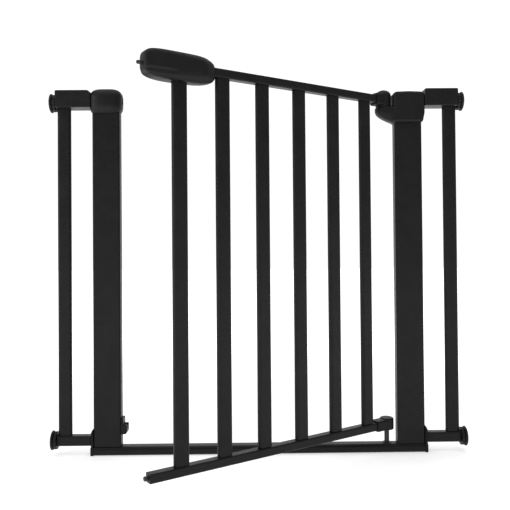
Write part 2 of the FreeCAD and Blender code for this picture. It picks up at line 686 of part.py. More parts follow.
def bolt_spring():
    """The compression spring behind the bolt's collar, wound from square wire."""
    half_wire, radius, turns = 0.45, 4.4, 6
    start, end = SPRING_SEAT + 0.1, COLLAR_T[0] - 0.1
    length = end - start - 2 * half_wire
    helix = Part.makeHelix(length / turns, length, radius)
    inner, outer = radius - half_wire, radius + half_wire
    corners = [V(inner, 0, -half_wire), V(outer, 0, -half_wire), V(outer, 0, half_wire), V(inner, 0, half_wire)]
    section = Part.makePolygon(corners + [corners[0]])
    coil = Part.Wire(helix).makePipeShell([section], True, True)
    towards_latch = FreeCAD.Rotation(V(0, 0, 1), V(-1, 0, 0))
    coil.Placement = FreeCAD.Placement(V(at(start + half_wire), 0, BOLT_Z), towards_latch)
    return coil


# ---- all pieces ---------------------------------------------------------------------------
def frame_parts():
    latch_front, latch_rear = latch_housing()
    hinge_front, hinge_rear = hinge_housing()
    plugs, studs = foot_plugs(), extension_studs()
    return {
        "threshold_bar": threshold_bar(),
        "left_post": left_post(),
        "right_post": mirrored(post(RIGHT_POST_TOP)),
        "left_corner_cap": corner_cap(),
        "right_corner_cap": mirrored(corner_cap()),
        "lower_hinge_bush": lower_hinge_bush(),
        "lower_catch": lower_catch(),
        "catch_screws": catch_screws(),
        "latch_housing_front": latch_front,
        "latch_housing_rear": latch_rear,
        "strike_liner": strike_liner(),
        "hinge_housing_front": hinge_front,
        "hinge_housing_rear": hinge_rear,
        "housing_screws": housing_screws(),
        "upper_hinge_pin": upper_hinge_pin(),
        "upper_hinge_bush": upper_hinge_bush(),
        "left_extension_bar": extension_bar(),
        "right_extension_bar": mirrored(extension_bar()),
        "left_extension_block": left_extension_block(),
        "right_extension_block": right_extension_block(),
        "left_foot_tube": foot_tube(),
        "right_foot_tube": mirrored(foot_tube()),
        "foot_tube_plugs": group(plugs + [mirrored(p) for p in plugs]),
        "extension_studs": group(studs + [mirrored(s) for s in studs]),
    }


def door_parts():
    front, rear = handle()
    pieces = {
        "top_rail": rail(TOP_RAIL_Z, TOP_RAIL_END),
        "bottom_rail": rail(LOW_RAIL_Z, LOW_RAIL_END),
        "upper_knuckle": upper_knuckle(),
        "lower_hinge_cap": lower_hinge_cap(),
        "rail_end_cap": rail_end_cap(),
        "catch_pin": catch_pin(),
        "handle_front": front,
        "handle_rear": rear,
        "handle_screws": handle_screws(),
        "thumb_slide": thumb_slide(),
        "latch_bolt": latch_bolt(),
        "bolt_spring": bolt_spring(),
        "lower_hinge_pin": lower_hinge_pin(),
        "pin_ring": pin_ring(),
    }
    for i in range(BAR_COUNT):
        pieces[f"door_bar_{i + 1}"] = door_bar(BAR_T + i * BAR_PITCH)
    return {name: opened(shape) for name, shape in pieces.items()}


def wall_parts():
    """The four adjusters: a hand wheel on a spindle that pushes a pad against the wall."""
    makers = {"hand_wheel": hand_wheel, "spindle": spindle, "pad_cup": pad_cup, "rubber_pad": rubber_pad}
    pieces = {}
    for level, z in (("upper", SPINDLE_Z), ("lower", FOOT_Z)):
        for name, make in makers.items():
            pieces[f"{name}_{level}_left"] = make(z)
            pieces[f"{name}_{level}_right"] = mirrored(make(z))
    return pieces


def main():
    os.makedirs("parts", exist_ok=True)
    pieces = {**frame_parts(), **door_parts(), **wall_parts()}
    for name, shape in pieces.items():
        solids = shape.Solids
        if not solids or not shape.isValid():
            raise ValueError(f"{name} is not a valid solid")
        kept = solids[0] if len(solids) == 1 else group(solids)
        kept.exportStep(f"parts/{name}.step")
        print(f"{name:24s} {len(solids)} solid(s) {shape.Volume / 1000:9.2f} cm3")
    print(len(pieces), "nodes")


main()
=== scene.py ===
import json
import math

import bmesh
import bpy
from mathutils import Matrix, Vector


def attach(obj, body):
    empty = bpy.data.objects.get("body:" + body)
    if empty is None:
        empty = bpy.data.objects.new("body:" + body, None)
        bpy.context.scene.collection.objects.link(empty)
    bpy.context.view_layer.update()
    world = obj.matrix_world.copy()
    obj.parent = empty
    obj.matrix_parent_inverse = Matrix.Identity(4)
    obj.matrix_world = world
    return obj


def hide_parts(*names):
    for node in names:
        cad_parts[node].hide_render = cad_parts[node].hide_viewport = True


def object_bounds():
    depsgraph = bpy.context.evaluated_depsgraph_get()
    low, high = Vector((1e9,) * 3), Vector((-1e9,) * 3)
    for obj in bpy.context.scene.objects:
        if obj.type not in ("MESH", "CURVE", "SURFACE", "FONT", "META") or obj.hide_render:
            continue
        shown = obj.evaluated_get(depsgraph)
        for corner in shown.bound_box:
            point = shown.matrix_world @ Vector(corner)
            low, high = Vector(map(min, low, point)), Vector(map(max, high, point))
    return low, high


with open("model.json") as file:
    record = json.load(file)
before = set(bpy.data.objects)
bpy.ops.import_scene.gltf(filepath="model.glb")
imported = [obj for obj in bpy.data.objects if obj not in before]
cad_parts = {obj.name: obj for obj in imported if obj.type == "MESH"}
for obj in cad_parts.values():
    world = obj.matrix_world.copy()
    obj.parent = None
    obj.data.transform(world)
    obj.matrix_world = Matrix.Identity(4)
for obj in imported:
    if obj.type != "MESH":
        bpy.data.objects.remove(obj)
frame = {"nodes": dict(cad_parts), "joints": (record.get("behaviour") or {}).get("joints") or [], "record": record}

cad_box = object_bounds()

MM = 0.001
BEHAVIOUR = frame["record"]["behaviour"]
BODY_OF = {node: body for body, nodes in BEHAVIOUR["bodies"].items() for node in nodes}
SLOT_OF = {part["node"]: part["material_slot"] for part in frame["record"]["subparts"]}
JOINTS = {joint["name"]: joint for joint in frame["joints"]}

# The shut door lies along -X from the hinge axis; DOOR carries it to where it stands.
SWING = JOINTS["door_swing"]
DOOR_ANGLE = -math.radians(sum(SWING["range_deg"]) / 2)
DOOR = Matrix.Translation(Vector(SWING["pos_m"])) @ Matrix.Rotation(DOOR_ANGLE, 4, "Z")
X, Y, Z = Vector((1, 0, 0)), Vector((0, 1, 0)), Vector((0, 0, 1))


# ---- mesh helpers, all in millimetres -----------------------------------------------------
def node_box(node, matrix=None):
    """Lowest and highest corner of a CAD node in millimetres, seen in the matrix's own axes."""
    back = matrix.inverted() if matrix else Matrix.Identity(4)
    points = [back @ v.co / MM for v in frame["nodes"][node].data.vertices]
    low = Vector([min(p[i] for p in points) for i in range(3)])
    high = Vector([max(p[i] for p in points) for i in range(3)])
    return low, high


def new_object(name, points, faces):
    mesh = bpy.data.meshes.new(name)
    mesh.from_pydata([Vector(p) * MM for p in points], [], faces)
    mesh.update()
    piece = bpy.data.objects.new(name, mesh)
    bpy.context.scene.collection.objects.link(piece)
    return piece


def mesh_edit(piece, work):
    """Run work(bm) on the piece's mesh and write it back with outward normals."""
    bm = bmesh.new()
    bm.from_mesh(piece.data)
    work(bm)
    bmesh.ops.recalc_face_normals(bm, faces=bm.faces)
    bm.to_mesh(piece.data)
    bm.free()
    return piece


def rounded_corners(corners, steps=6, inset=0.0):
    """A closed outline from (u, v) or (u, v, radius) corners, moved inwards by an inset."""
    area = sum(a[0] * b[1] - b[0] * a[1] for a, b in zip(corners, corners[1:] + corners[:1]))
    outline = []
    for i, corner in enumerate(corners):
        here = Vector(corner[:2])
        before = (Vector(corners[i - 1][:2]) - here).normalized()
        after = (Vector(corners[(i + 1) % len(corners)][:2]) - here).normalized()
        half_turn = before.angle(after) / 2
        middle = (before + after).normalized()
        outward = 1 if before.cross(after) * area < 0 else -1
        here = here + middle * outward * inset / math.sin(half_turn)
        if len(corner) == 2:
            outline.append(here)
            continue
        radius = max(corner[2] - outward * inset, 0.02)
        start = here + before * radius / math.tan(half_turn)
        end = here + after * radius / math.tan(half_turn)
        centre = here + middle * radius / math.sin(half_turn)
        angle = (start - centre).angle_signed(end - centre)
        for k in range(steps + 1):
            outline.append(centre + Matrix.Rotation(-angle * k / steps, 2) @ (start - centre))
    return outline


def rectangle(low, high, radius):
    """The four corners of a rounded rectangle, for rounded_corners."""
    places = ((low[0], low[1]), (high[0], low[1]), (high[0], high[1]), (low[0], high[1]))
    return [(u, v, radius) for u, v in places]


def skin(name, rings, closed=False):
    """Join rings of equally many points with quads; cap the first and last unless closed."""
    count = len(rings[0])
    points = [p for ring in rings for p in ring]
    faces = []
    for r in range(len(rings) if closed else len(rings) - 1):
        a, b = r * count, (r + 1) % len(rings) * count
        faces += [(a + i, a + (i + 1) % count, b + (i + 1) % count, b + i) for i in range(count)]
    if not closed:
        faces += [tuple(range(count)), tuple(reversed(range(len(points) - count, len(points))))]
    return mesh_edit(new_object(name, points, faces), lambda bm: None)


def plate(name, corners, y, rims=(0.0, 0.0), steps=8):
    """Corners in (x, z) with thickness along Y; each rim is rounded by its own radius."""
    sections = []
    for rim, place, direction in ((rims[0], y[0], 1), (rims[1], y[1], -1)):
        turns = [math.pi / 2 * k / 5 for k in range(6)] if rim else [math.pi / 2]
        rounded = [(rim * (1 - math.sin(a)), place + direction * rim * (1 - math.cos(a))) for a in turns]
        sections += rounded if direction > 0 else reversed(rounded)
    outlines = [(rounded_corners(corners, steps, amount), place) for amount, place in sections]
    return skin(name, [[Vector((p.x, place, p.y)) for p in outline] for outline, place in outlines])


def prism(name, corners, z, steps=8):
    """Corners in (x, y) drawn straight up from one height to another."""
    return skin(name, [[Vector((p.x, p.y, place)) for p in rounded_corners(corners, steps)] for place in z])


def tube(name, low, high, axis, radius, wall, lip=0.5):
    """A hollow bar between two corners; its cut ends are broken by a small lip."""
    across = [i for i in range(3) if i != axis]
    corners = rectangle([low[i] for i in across], [high[i] for i in across], radius)
    sections = [(wall, low[axis]), (wall, high[axis]), (lip, high[axis]), (0, high[axis] - lip),
                (0, low[axis] + lip), (lip, low[axis])]
    rings = []
    for amount, place in sections:
        ring = []
        for p in rounded_corners(corners, 8, amount):
            point = Vector()
            point[across[0]], point[across[1]], point[axis] = p.x, p.y, place
            ring.append(point)
        rings.append(ring)
    return skin(name, rings, closed=True)


def lathe(name, profile, start, direction, steps=64):
    """Turn (radius, height) points about a line; the profile begins and ends on it."""
    turn = Z.rotation_difference(Vector(direction)).to_matrix()
    points, faces = [], []
    for radius, height in profile[1:-1]:
        for k in range(steps):
            a = 2 * math.pi * k / steps
            points.append(Vector(start) + turn @ Vector((radius * math.cos(a), radius * math.sin(a), height)))
    tips = [Vector(start) + turn @ Vector((0, 0, profile[i][1])) for i in (0, -1)]
    rows = len(profile) - 2
    for r in range(rows - 1):
        for k in range(steps):
            n = (k + 1) % steps
            faces.append((r * steps + k, r * steps + n, (r + 1) * steps + n, (r + 1) * steps + k))
    low, high = len(points), len(points) + 1
    for k in range(steps):
        n = (k + 1) % steps
        faces.append((low, n, k))
        faces.append((high, (rows - 1) * steps + k, (rows - 1) * steps + n))
    return mesh_edit(new_object(name, points + tips, faces), lambda bm: None)


def bend(start, end, centre, steps=5):
    """Points of a quarter-round from start to end about a centre, ends left out."""
    a0 = math.atan2(start[1] - centre[1], start[0] - centre[0])
    a1 = math.atan2(end[1] - centre[1], end[0] - centre[0])
    turn = (a1 - a0 + math.pi) % (2 * math.pi) - math.pi
    radius = math.dist(start, centre)
    angles = [a0 + turn * k / steps for k in range(steps + 1)]
    return [(centre[0] + radius * math.cos(a), centre[1] + radius * math.sin(a)) for a in angles]


def soft_cylinder(radius, height, edge, steps=5):
    """Profile of a disc or pin with both edges rounded."""
    lower = bend((radius - edge, 0), (radius, edge), (radius - edge, edge), steps)
    upper = bend((radius, height - edge), (radius - edge, height), (radius - edge, height - edge), steps)
    return [(0, 0)] + lower + upper + [(0, height)]


def blob(name, centre, half, side, depth, shape=None, steps=40):
    """A pillow: a superellipsoid with its own roundness at each corner.

    side is the side view's powers, ((low x at the bottom, top), (high x at the bottom, top));
    depth is the powers across Y at low x and at high x.
    """
    bm = bmesh.new()
    bmesh.ops.create_cube(bm, size=2)
    bmesh.ops.subdivide_edges(bm, edges=bm.edges, cuts=steps - 1, use_grid_fill=True)
    for v in bm.verts:
        d = Vector([math.tan(c * math.pi / 4) for c in v.co])
        across, up = (1 + d.x) / 2, (1 + d.z) / 2
        ends = [bottom + (top - bottom) * up for bottom, top in side]
        p = ends[0] + (ends[1] - ends[0]) * across
        q = depth[0] + (depth[1] - depth[0]) * across
        d /= ((abs(d.x) ** p + abs(d.z) ** p) ** (q / p) + abs(d.y) ** q) ** (1 / q)
        point = Vector([d[i] * half[i] for i in range(3)])
        if shape:
            point = shape(point)
        v.co = (Vector(centre) + point) * MM
    mesh = bpy.data.meshes.new(name)
    bm.to_mesh(mesh)
    bm.free()
    piece = bpy.data.objects.new(name, mesh)
    bpy.context.scene.collection.objects.link(piece)
    return mesh_edit(piece, lambda bm: None)


def combine(piece, other, operation="DIFFERENCE"):
    """Cut, join or intersect with another piece, which is used up."""
    change = piece.modifiers.new("change", "BOOLEAN")
    change.operation = operation
    change.solver = "EXACT"
    change.object = other
    seen = piece.evaluated_get(bpy.context.evaluated_depsgraph_get())
    piece.data = bpy.data.meshes.new_from_object(seen)
    piece.modifiers.clear()
    bpy.data.objects.remove(other)
    return piece


def block(low, high):
    """A sharp-edged cutter between two corners."""
    corners = [(low[0], low[2]), (high[0], low[2]), (high[0], high[2]), (low[0], high[2])]
    return plate("cutter", corners, (low[1], high[1]))


def break_edges(piece, width=0.5, limit=32):
    """Round the crisp edges that joining and cutting leave."""
    soften = piece.modifiers.new("edges", "BEVEL")
    soften.width = width * MM
    soften.segments = 2
    soften.limit_method = "ANGLE"
    soften.angle_limit = math.radians(limit)
    soften.use_clamp_overlap = True
    seen = piece.evaluated_get(bpy.context.evaluated_depsgraph_get())
    piece.data = bpy.data.meshes.new_from_object(seen)
    piece.modifiers.clear()
    return piece


def split(piece, names, groove=0.35):
    """Part a cover at y = 0 into its front and rear mouldings, with a fine groove at the seam."""
    parts = []
    for name, side in zip(names, (-1, 1)):
        half = piece.copy()
        half.data = piece.data.copy()
        half.name = name
        bpy.context.scene.collection.objects.link(half)

        def cut(bm, side=side):
            geometry = bm.verts[:] + bm.edges[:] + bm.faces[:]
            bmesh.ops.bisect_plane(bm, geom=geometry, plane_co=(0, 0, 0), plane_no=(0, -side, 0),
                                   clear_outer=True, dist=1e-7)
            rim = [e for e in bm.edges if e.is_boundary]
            caps = bmesh.ops.holes_fill(bm, edges=rim, sides=0)["faces"]
            bmesh.ops.inset_region(bm, faces=caps, thickness=groove * MM, depth=0, use_even_offset=True)
            outer = {v for e in rim if e.is_valid for v in e.verts}
            for v in outer:
                v.co.y += side * groove * MM
        parts.append(mesh_edit(half, cut))
    bpy.data.objects.remove(piece)
    return parts


def finish(piece, nodes, matrix=None, material=None, sharp=38):
    """Set the piece in place and hand it to the CAD nodes' body, slot and finish."""
    nodes = [nodes] if isinstance(nodes, str) else nodes
    if matrix:
        piece.data.transform(matrix)

    def shade(bm):
        bmesh.ops.remove_doubles(bm, verts=bm.verts, dist=0.002 * MM)
        for face in bm.faces:
            face.smooth = True
        for edge in bm.edges:
            if len(edge.link_faces) == 2:
                edge.smooth = edge.calc_face_angle(0) < math.radians(sharp)
    mesh_edit(piece, shade)
    normals = piece.modifiers.new("normals", "WEIGHTED_NORMAL")
    normals.keep_sharp = True
    slot = SLOT_OF[nodes[0]]
    piece.data.materials.clear()
    piece.data.materials.append(MATERIALS[material or slot])
    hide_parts(*nodes)
    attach(piece, BODY_OF[nodes[0]])
    return piece


# ---- materials ----------------------------------------------------------------------------
CLOUD_SIZE, SHEEN_SIZE = 35, 9      # millimetres over which colour and roughness drift
ROUGH_DRIFT = 0.05


def finish_material(name, colour, rough, metallic=0.0, gloss=0.5, grain=None, wave=None, mottle=0.25):
    """A procedural finish: a fine grain, a slow waviness, and colour and gloss that drift.

    grain and wave are (feature size in mm, bump height in mm).
    """
    material = bpy.data.materials.new(name)
    material.use_nodes = True
    nodes, links = material.node_tree.nodes, material.node_tree.links
    shader = nodes["Principled BSDF"]
    shader.inputs["Metallic"].default_value = metallic
    shader.inputs["Specular IOR Level"].default_value = gloss
    place = nodes.new("ShaderNodeTexCoord")

    def noise(size, detail):
        texture = nodes.new("ShaderNodeTexNoise")
        texture.inputs["Scale"].default_value = 1 / (size * MM)
        texture.inputs["Detail"].default_value = detail
        links.new(place.outputs["Object"], texture.inputs["Vector"])
        return texture.outputs["Fac"]

    def drift(source, low, high):
        remap = nodes.new("ShaderNodeMapRange")
        remap.inputs["From Min"].default_value = 0.3
        remap.inputs["From Max"].default_value = 0.7
        remap.inputs["To Min"].default_value = low
        remap.inputs["To Max"].default_value = high
        links.new(source, remap.inputs["Value"])
        return remap.outputs["Result"]

    cloud = noise(CLOUD_SIZE, 4)
    ramp = nodes.new("ShaderNodeValToRGB")
    ramp.color_ramp.elements[0].position = 0.3
    ramp.color_ramp.elements[1].position = 0.7
    ramp.color_ramp.elements[0].color = (*[c * (1 - mottle) for c in colour], 1)
    ramp.color_ramp.elements[1].color = (*[c * (1 + mottle) for c in colour], 1)
    links.new(cloud, ramp.inputs["Fac"])
    links.new(ramp.outputs["Color"], shader.inputs["Base Color"])
    sheen = drift(noise(SHEEN_SIZE, 3), rough - ROUGH_DRIFT, rough + ROUGH_DRIFT)
    links.new(sheen, shader.inputs["Roughness"])
    normal = None
    for size, height in (wave, grain):
        bump = nodes.new("ShaderNodeBump")
        bump.inputs["Distance"].default_value = height * MM
        links.new(noise(size, 2), bump.inputs["Height"])
        if normal:
            links.new(normal, bump.inputs["Normal"])
        normal = bump.outputs["Normal"]
    links.new(normal, shader.inputs["Normal"])
    return material


MATERIALS = {
    "powder_coated_steel": finish_material("powder_coat", (0.006, 0.006, 0.0064), 0.42, gloss=0.2,
        grain=(0.9, 0.05), wave=(4, 0.05)),
    "black_moulding": finish_material("moulded_black", (0.006, 0.006, 0.0063), 0.46, gloss=0.2,
        grain=(0.45, 0.06), wave=(14, 0.12)),
    "black_nylon": finish_material("nylon_black", (0.02, 0.02, 0.02), 0.5,
        grain=(0.6, 0.03), wave=(6, 0.05)),
    "black_rubber": finish_material("rubber_black", (0.012, 0.012, 0.012), 0.78,
        grain=(0.5, 0.08), wave=(3, 0.08)),
    "blackened_steel": finish_material("blackened", (0.035, 0.035, 0.037), 0.33, 0.6,
        grain=(0.4, 0.02), wave=(3, 0.02)),
    "zinc_plated_steel": finish_material("zinc", (0.55, 0.55, 0.57), 0.35, 1.0,
        grain=(0.3, 0.02), wave=(2, 0.02), mottle=0.1),
    "spring_steel": finish_material("spring_wire", (0.5, 0.5, 0.5), 0.3, 1.0,
        grain=(0.3, 0.01), wave=(2, 0.02), mottle=0.1),
}


# ---- steel tubes --------------------------------------------------------------------------
WALL = 1.3
POST_CORNER = 4.0
THRESHOLD_CORNER = 6.5
BAR_CORNER = 5.6
RAIL_CORNER = 2.5
FOOT_CORNER = 3.0


def frame_tubes():
    """The U-frame and the extensions: each tube's long axis and corner radius."""
    kinds = {"threshold_bar": (0, THRESHOLD_CORNER),
             "left_post": (2, POST_CORNER), "right_post": (2, POST_CORNER),
             "left_extension_bar": (2, BAR_CORNER), "right_extension_bar": (2, BAR_CORNER),
             "left_foot_tube": (0, FOOT_CORNER), "right_foot_tube": (0, FOOT_CORNER)}
    for node, (axis, corner) in kinds.items():
        low, high = node_box(node)
        finish(tube(f"{node}_tube", low, high, axis, corner, WALL), node)


def door_tubes():
    for node in BEHAVIOUR["bodies"]["door"]:
        if node.startswith("door_bar"):
            axis, corner = 2, BAR_CORNER
        elif node in ("top_rail", "bottom_rail"):
            axis, corner = 0, RAIL_CORNER
        else:
            continue
        low, high = node_box(node, DOOR)
        finish(tube(f"{node}_tube", low, high, axis, corner, WALL), node, DOOR)


# ---- covers -------------------------------------------------------------------------------
FIT = 0.25                  # gap round a tube in the moulding that takes it
HINGE_SIDE = 3.3            # how far the hinge cover overhangs the post on the door's side
HINGE_OUTER = 1.6           # and on the other side, at the bottom
LUG_EDGE = 2.4


def bar_outline(low, high, radius):
    """A tube's outline in (x, y) with the moulding's gap round it."""
    return rectangle((low.x - FIT, low.y - FIT), (high.x + FIT, high.y + FIT), radius)


def post_space(post, down=60):
    """The opening that a post's top end goes into."""
    low, high = node_box(post)
    return prism("cutter", bar_outline(low, high, POST_CORNER), (high.z - down, high.z))


SCREW_SINK = 6


def screw_spaces(piece, screws, half, radius=3.6):
    """Counterbores in the rear face, one over each screw of a group node."""
    for x, z in screws:
        profile = [(0, 0), (radius, 0), (radius, 40), (0, 40)]
        combine(piece, lathe("cutter", profile, (x, half - SCREW_SINK, z), Y, 32))


def screw_places(node, matrix=None):
    """Centres of the separate screws in a group node, as (x, z)."""
    bm = bmesh.new()
    bm.from_mesh(frame["nodes"][node].data)
    bmesh.ops.remove_doubles(bm, verts=bm.verts, dist=1e-6)
    back = matrix.inverted() if matrix else Matrix.Identity(4)
    todo, places = set(bm.verts), []
    while todo:
        stack, found = [todo.pop()], []
        while stack:
            v = stack.pop()
            found.append(back @ v.co / MM)
            for e in v.link_edges:
                other = e.other_vert(v)
                if other in todo:
                    todo.remove(other)
                    stack.append(other)
        xs, zs = [p.x for p in found], [p.z for p in found]
        places.append(((min(xs) + max(xs)) / 2, (min(zs) + max(zs)) / 2))
    bm.free()
    return sorted(places)


def latch_pillow(name, room=0.0):
    """The latch cover's pillow shape, or a slightly larger one that makes room for it."""
    low, high = node_box("latch_housing_front")
    low.y, high.y = -node_box("latch_housing_rear")[1].y, node_box("latch_housing_rear")[1].y
    half = (high - low) / 2 + Vector((room, room, room))
    return blob(name, (low + high) / 2, half, ((3.6, 3.6), (3.6, 3.6)), (2.8, 2.8))


def latch_housing():
    """The pillow over the left post, open towards the door where the bolt goes in."""
    half = node_box("latch_housing_rear")[1].y
    body = latch_pillow("latch_cover")
    combine(body, post_space("left_post"))
    pocket_low, pocket_high = node_box("strike_liner")
    combine(body, block(pocket_low, pocket_high + Vector((9, 0, 0))))
    screw_spaces(body, [p for p in screw_places("housing_screws") if p[0] < 0], half)
    front, rear = split(body, ("latch_cover_front", "latch_cover_rear"))
    finish(front, "latch_housing_front")
    finish(rear, "latch_housing_rear")


def hinge_housing():
    """A soft-cornered box over the right post, with the lug that carries the door's knuckle."""
    low, high = node_box("hinge_housing_front")
    half = node_box("hinge_housing_rear")[1].y
    pin_low, pin_high = node_box("upper_hinge_pin")
    axis_x = (pin_low.x + pin_high.x) / 2
    post_low, post_high = node_box("right_post")
    lug_top = node_box("upper_hinge_bush")[0].z
    body_left = post_low.x - HINGE_SIDE
    corners = [(body_left, low.z, 7), (post_high.x + HINGE_OUTER, low.z, 6.5), (high.x, low.z + 20, 16),
               (high.x, high.z - 1.2, 10), ((body_left + high.x) / 2, high.z, 60),
               (body_left, high.z - 1.2, 9)]
    body = plate("hinge_cover", corners, (-half, half), (6, 6), 10)
    combine(body, hinge_lug(axis_x, axis_x - low.x, post_low.x + 4, low.z, lug_top), "UNION")
    combine(body, post_space("right_post"))
    screw_spaces(body, [p for p in screw_places("housing_screws") if p[0] > 0], half)
    front, rear = split(body, ("hinge_cover_front", "hinge_cover_rear"))
    finish(front, "hinge_housing_front")
    finish(rear, "hinge_housing_rear")


def hinge_lug(axis_x, nose, root, bottom, top):
    """The round-nosed shelf under the knuckle; its underside sweeps back to the housing."""
    sweep = [(0.0, 0.0), (0.08, 0.22), (0.17, 0.42), (0.27, 0.6),
             (0.38, 0.76), (0.5, 0.89), (0.62, 0.97), (0.75, 1.0)]
    sections = [(bottom + share * (top - bottom), grow, 0.0) for share, grow in sweep]
    rounds = [math.pi / 2 * k / 5 for k in range(6)]
    sections += [(top - LUG_EDGE * (1 - math.sin(a)), 1.0, LUG_EDGE * (1 - math.cos(a))) for a in rounds]
    rings = []
    for z, grow, edge in sections:
        tip = root - 5 + (axis_x - nose - root + 5) * grow + edge
        width = nose - 3.5 * (1 - grow) - edge
        depth = min(width, root - tip - 0.05)
        ring = [Vector((root, width, z))]
        for k in range(33):
            a = math.pi / 2 + math.pi * k / 32
            ring.append(Vector((tip + depth + depth * math.cos(a), width * math.sin(a), z)))
        ring.append(Vector((root, -width, z)))
        rings.append(ring)
    return skin("lug", rings)


# ---- extension blocks and corner caps -----------------------------------------------------
def extension_blocks():
    """The blocks on top of the extension bars; the left one is hollowed to meet the latch pillow."""
    for side in ("left", "right"):
        low, high = node_box(f"{side}_extension_block")
        if side == "left":
            high.x += 4
            corners = [(low.x, low.z, 2), (high.x, low.z, 1), (high.x, high.z, 9), (low.x, high.z, 2.5)]
        else:
            corners = [(low.x, low.z, 2), (high.x, low.z, 2), (high.x, high.z, 2.5), (low.x, high.z, 3.5)]
        piece = plate(f"{side}_block", corners, (low.y, high.y), (1.9, 1.9))
        if side == "left":
            combine(piece, latch_pillow("cutter", 0.1))
        bar_low, bar_high = node_box(f"{side}_extension_bar")
        corners = bar_outline(bar_low, bar_high, BAR_CORNER)
        combine(piece, prism("cutter", corners, (low.z - 5, bar_high.z)))
        finish(piece, f"{side}_extension_block")


def corner_caps():
    """The slim moulded feet outside the posts, stepped at mid-height and sloped at the top."""
    for side, sign in (("left", -1), ("right", 1)):
        low, high = node_box(f"{side}_corner_cap")
        post_low, post_high = node_box(f"{side}_post")
        outer = low.x if sign < 0 else high.x
        inner = post_low.x if sign < 0 else post_high.x
        width = abs(outer - inner)
        corners = [(0, low.z, 0.6), (width, low.z, 2.4), (width, low.z + 15, 2), (width - 1.2, low.z + 19, 2),
                   (width - 1.2, high.z - 7, 2.5), (width - 4.5, high.z, 0.8), (0, high.z, 0.5)]
        corners = [(inner + sign * x, z, radius) for x, z, radius in corners]
        piece = plate(f"{side}_cap", corners, (low.y, high.y), (1.6, 1.6))
        finish(piece, f"{side}_corner_cap")


# ---- wall adjusters -----------------------------------------------------------------------
WHEEL_BORE = 4.06


def adjusters():
    for level in ("upper", "lower"):
        for side, sign in (("left", -1), ("right", 1)):
            wheel_and_pad(level, side, sign)


def wheel_and_pad(level, side, sign):
    """One adjuster: a scalloped wheel, a cup with a rounded back and a ringed rubber pad."""
    name = f"{level}_{side}"
    out = Vector((sign, 0, 0))
    low, high = node_box(f"hand_wheel_{name}")
    centre = (low + high) / 2
    thick, radius, lobes = high.x - low.x, (high.z - low.z) / 2, 12
    rings = []
    for edge, place in ((1.4, 0), (0.5, 0.4), (0, 1.4), (0, thick - 1.4), (0.5, thick - 0.4), (1.4, thick)):
        turns = [2 * math.pi * k / 240 for k in range(240)]
        reach = [radius - edge - 1.1 * (0.5 - 0.5 * math.cos(lobes * a)) ** 2 for a in turns]
        rings.append([Vector((r * math.cos(a), place, r * math.sin(a))) for r, a in zip(reach, turns)])
    wheel = skin(f"wheel_{name}", rings)
    bore = [(0, 0), (WHEEL_BORE, 0), (WHEEL_BORE, thick + 2), (0, thick + 2)]
    combine(wheel, lathe("cutter", bore, (0, -1, 0), Y, 48))
    stand = Matrix.Translation(Vector((centre.x - sign * thick / 2, 0, centre.z)) * MM)
    stand = stand @ Y.rotation_difference(out).to_matrix().to_4x4()
    finish(wheel, f"hand_wheel_{name}", stand)

    low, high = node_box(f"pad_cup_{name}")
    near, depth, radius = (high.x if sign < 0 else low.x), high.x - low.x, (high.z - low.z) / 2
    profile = [(0, 0), (radius - 3.2, 0)] + bend((radius - 3.2, 0), (radius, 2.2), (radius - 3.0, 2.4), 6) + [
        (radius, depth), (0, depth)]
    finish(lathe(f"cup_{name}", profile, (near, 0, centre.z), out), f"pad_cup_{name}")

    low, high = node_box(f"rubber_pad_{name}")
    near, depth, radius = (high.x if sign < 0 else low.x), high.x - low.x, (high.z - low.z) / 2
    profile = [(0, 0), (radius - 0.6, 0), (radius, 0.6)]
    profile += bend((radius, depth - 1.3), (radius - 1.3, depth), (radius - 1.3, depth - 1.3))
    for ring in (15.5, 11.5, 7.5):
        profile += [(ring, depth), (ring - 0.5, depth - 0.7), (ring - 1.0, depth - 0.7), (ring - 1.5, depth)]
    finish(lathe(f"pad_{name}", profile + [(0, depth)], (near, 0, centre.z), out), f"rubber_pad_{name}")


# ---- hinge parts and pins -----------------------------------------------------------------
SLEEVE_MARGIN = 4.6         # moulding round the top rail's end
DOME = 11.5
BOLT_R = 3.25
QUARTER = Matrix.Rotation(math.pi / 2, 4, "Z")      # turns a plate drawn across the door along it


def upper_knuckle():
    """The domed barrel over the fixed pin, with a sleeve for the top rail."""
    low, high = node_box("upper_knuckle", DOOR)
    radius, top = high.x, high.z
    shoulder = top - DOME
    dome = [(radius * math.cos(a), shoulder + (top - shoulder) * math.sin(a))
            for a in [math.pi / 2 * k / 10 for k in range(1, 10)]]
    profile = [(0, low.z), (radius - 1.5, low.z)]
    profile += bend((radius - 1.5, low.z), (radius, low.z + 1.5), (radius - 1.5, low.z + 1.5), 4)[1:]
    profile += [(radius, shoulder)] + dome + [(0, top)]
    body = lathe("knuckle", profile, (0, 0, 0), Z)
    rail_low, rail_high = node_box("top_rail", DOOR)
    margin = SLEEVE_MARGIN
    corners = rectangle((rail_low.y - margin + 1, rail_low.z - margin),
                        (rail_high.y + margin - 1, rail_high.z + margin), 5)
    sleeve = plate("sleeve", corners, (0, -low.x), (0, 2.0))
    sleeve.data.transform(QUARTER)
    combine(body, sleeve, "UNION")
    finish(break_edges(body, 0.7, 30), "upper_knuckle", DOOR)


